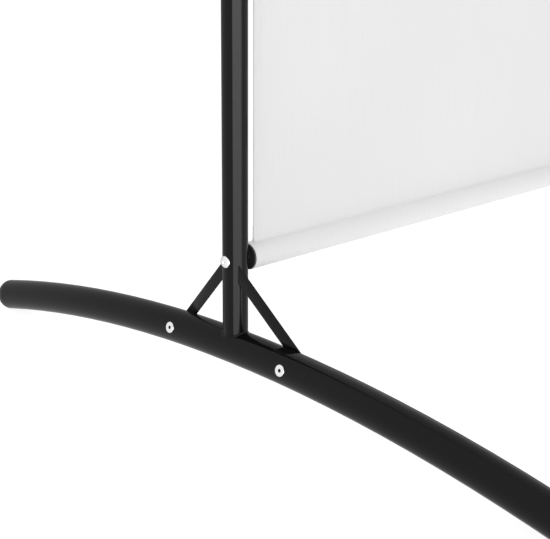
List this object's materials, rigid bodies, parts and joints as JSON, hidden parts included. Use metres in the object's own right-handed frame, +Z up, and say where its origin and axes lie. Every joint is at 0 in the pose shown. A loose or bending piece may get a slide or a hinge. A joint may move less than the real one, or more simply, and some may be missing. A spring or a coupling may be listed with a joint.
{
  "type": "folding screen",
  "caption": "Free-standing folding screen: hinged black steel tube frames on arched feet, each holding a stretched white cloth between two rods.",
  "frame": {"origin": "on the floor, below the middle of the flat open screen", "axes": "+X along the flat screen, from its first panel to its last; +Y along the feet, to the rear; +Z up"},
  "size_m": [2.5924, 0.6304, 1.8],
  "materials": {
    "black_enamel": "gloss black paint",
    "black_plastic": "moulded black, semi-gloss",
    "zinc_steel": "bright zinc plated",
    "white_cloth": "plain-woven white polyester"
  },
  "bodies": {
    "panel_1": {"left_post_1": "black_enamel", "right_post_1": "black_enamel", "post_plugs_1": "black_plastic", "upper_rod_1": "black_enamel", "lower_rod_1": "black_enamel", "upper_rod_caps_1": "black_plastic", "lower_rod_caps_1": "black_plastic", "rod_bolts_1": "zinc_steel", "cloth_1": "white_cloth", "foot_1": "black_enamel", "front_toe_cap_1": "black_plastic", "rear_toe_cap_1": "black_plastic", "front_brace_1": "black_enamel", "rear_brace_1": "black_enamel", "foot_screws_1": "zinc_steel", "upper_clip_1": "black_plastic", "lower_clip_1": "black_plastic", "clip_screws_1": "zinc_steel"},
    "panel_2": {"left_post_2": "black_enamel", "right_post_2": "black_enamel", "post_plugs_2": "black_plastic", "upper_rod_2": "black_enamel", "lower_rod_2": "black_enamel", "upper_rod_caps_2": "black_plastic", "lower_rod_caps_2": "black_plastic", "rod_bolts_2": "zinc_steel", "cloth_2": "white_cloth", "foot_2": "black_enamel", "front_toe_cap_2": "black_plastic", "rear_toe_cap_2": "black_plastic", "front_brace_2": "black_enamel", "rear_brace_2": "black_enamel", "foot_screws_2": "zinc_steel", "stop_collar_1": "black_plastic", "upper_clip_2": "black_plastic", "lower_clip_2": "black_plastic", "clip_screws_2": "zinc_steel"},
    "panel_3": {"left_post_3": "black_enamel", "right_post_3": "black_enamel", "post_plugs_3": "black_plastic", "upper_rod_3": "black_enamel", "lower_rod_3": "black_enamel", "upper_rod_caps_3": "black_plastic", "lower_rod_caps_3": "black_plastic", "rod_bolts_3": "zinc_steel", "cloth_3": "white_cloth", "foot_3": "black_enamel", "front_toe_cap_3": "black_plastic", "rear_toe_cap_3": "black_plastic", "front_brace_3": "black_enamel", "rear_brace_3": "black_enamel", "foot_screws_3": "zinc_steel", "foot_4": "black_enamel", "front_toe_cap_4": "black_plastic", "rear_toe_cap_4": "black_plastic", "front_brace_4": "black_enamel", "rear_brace_4": "black_enamel", "foot_screws_4": "zinc_steel", "stop_collar_2": "black_plastic"}
  },
  "joints": [
    {"name": "panel_2_fold", "type": "hinge", "parent": "panel_1", "child": "panel_2", "pos_m": [-0.415, 0, 0.24], "axis": [0, 0, 1], "range_deg": [-90, 90]},
    {"name": "panel_3_fold", "type": "hinge", "parent": "panel_2", "child": "panel_3", "pos_m": [0.451, 0, 0.24], "axis": [0, 0, 1], "range_deg": [-90, 90]}
  ]
}
